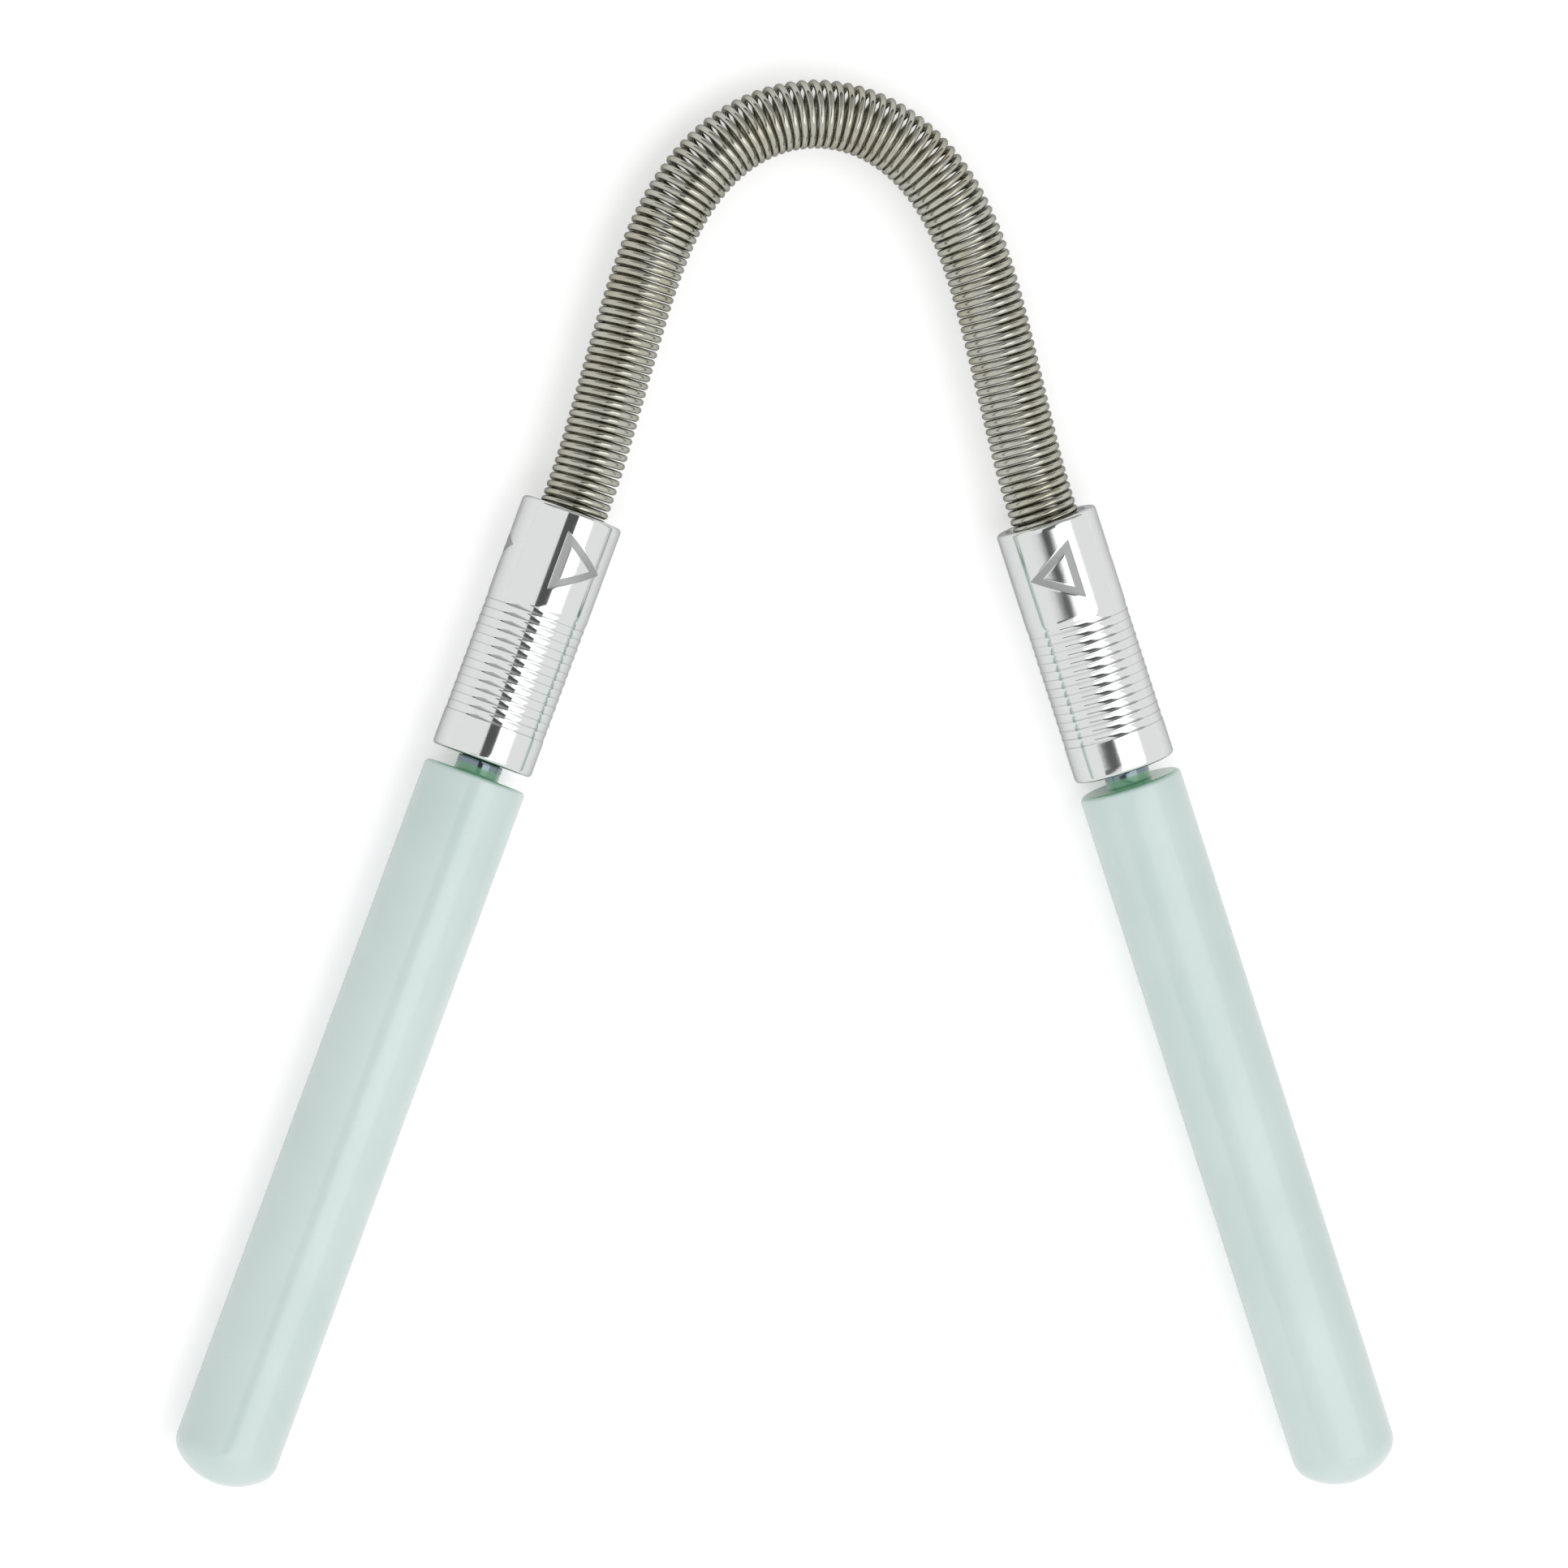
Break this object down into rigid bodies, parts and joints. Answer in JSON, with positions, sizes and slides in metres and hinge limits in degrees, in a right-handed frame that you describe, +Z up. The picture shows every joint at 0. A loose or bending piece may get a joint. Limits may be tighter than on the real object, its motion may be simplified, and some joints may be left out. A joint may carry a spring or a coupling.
{
  "type": "facial hair remover",
  "caption": "Threading spring for facial hair: a close-wound steel coil bent into a U, with a ring-grooved ferrule and a swivelling mint handle on each end.",
  "frame": {"origin": "on the surface that the tool lies on, under the middle of its outline", "axes": "+Z up, away from the surface; +Y along the middle line from the handle tips to the top of the bend; +X to the right arm"},
  "size_m": [0.0944, 0.1072, 0.008],
  "materials": {
    "spring_steel": "bright drawn stainless wire",
    "polished_aluminium": "bright turned and polished, with matt etched triangles",
    "plain_brass": "plain turned",
    "screw_steel": "plain",
    "mint_lacquer": "satin-gloss mint lacquer"
  },
  "bodies": {
    "left_grip": {"coil_spring": "spring_steel", "left_ferrule": "polished_aluminium", "left_spring_plug": "plain_brass"},
    "right_grip": {"right_ferrule": "polished_aluminium", "right_spring_plug": "plain_brass"},
    "left_turning_handle": {"left_handle": "mint_lacquer", "left_retaining_screw": "screw_steel", "left_thrust_washer": "plain_brass"},
    "right_turning_handle": {"right_handle": "mint_lacquer", "right_retaining_screw": "screw_steel", "right_thrust_washer": "plain_brass"}
  },
  "joints": [
    {"name": "spring_bend", "type": "hinge", "parent": "left_grip", "child": "right_grip", "pos_m": [0, 0.05095, 0.004], "axis": [0, 0, 1], "range_deg": [-41, 60], "stiffness_Nm_per_rad": 0.0005, "deforming": ["coil_spring"]},
    {"name": "left_handle_swivel", "type": "hinge", "parent": "left_grip", "child": "left_turning_handle", "pos_m": [-0.02466, 0.00235, 0.004], "axis": [-0.3322, -0.9432, 0], "continuous": true},
    {"name": "right_handle_swivel", "type": "hinge", "parent": "right_grip", "child": "right_turning_handle", "pos_m": [0.02466, 0.00235, 0.004], "axis": [0.3322, -0.9432, 0], "continuous": true}
  ]
}
